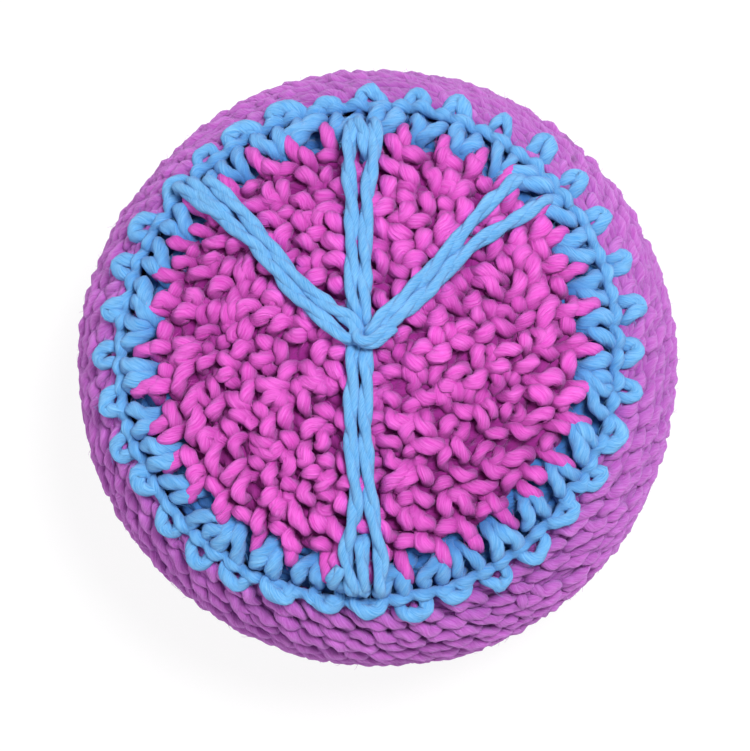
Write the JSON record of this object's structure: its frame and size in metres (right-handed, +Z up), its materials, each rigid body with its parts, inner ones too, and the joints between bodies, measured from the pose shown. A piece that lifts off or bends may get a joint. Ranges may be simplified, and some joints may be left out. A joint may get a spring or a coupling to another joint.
{
  "type": "footbag",
  "caption": "Soft round crocheted kicking bag with a stitched figure on its face, filled with loose pellets and lying on its flattened base.",
  "frame": {"origin": "middle of the bounding box at the base, where the bag lies on the table", "axes": "+Z up through the middle of the decorated face, +Y towards the arm of the figure that lies between the two diagonals, +X to its right seen from above"},
  "size_m": [0.056, 0.056, 0.0359],
  "materials": {
    "magenta_yarn": "soft matte crochet yarn",
    "blue_yarn": "soft matte crochet yarn",
    "plastic_pellets": "smooth translucent pellets"
  },
  "bodies": {
    "root": {"face_panel": "magenta_yarn", "blue_border": "blue_yarn", "side_panel": "magenta_yarn", "base_panel": "magenta_yarn", "closing_knot": "magenta_yarn", "pellet_fill": "plastic_pellets", "upper_arm_first_strand": "blue_yarn", "upper_arm_second_strand": "blue_yarn", "upper_arm_short_strand": "blue_yarn", "left_arm_first_strand": "blue_yarn", "left_arm_second_strand": "blue_yarn", "left_arm_short_strand": "blue_yarn", "lower_arm_first_strand": "blue_yarn", "lower_arm_second_strand": "blue_yarn", "lower_arm_short_strand": "blue_yarn", "right_arm_first_strand": "blue_yarn", "right_arm_second_strand": "blue_yarn", "centre_tie": "blue_yarn"}
  },
  "joints": []
}
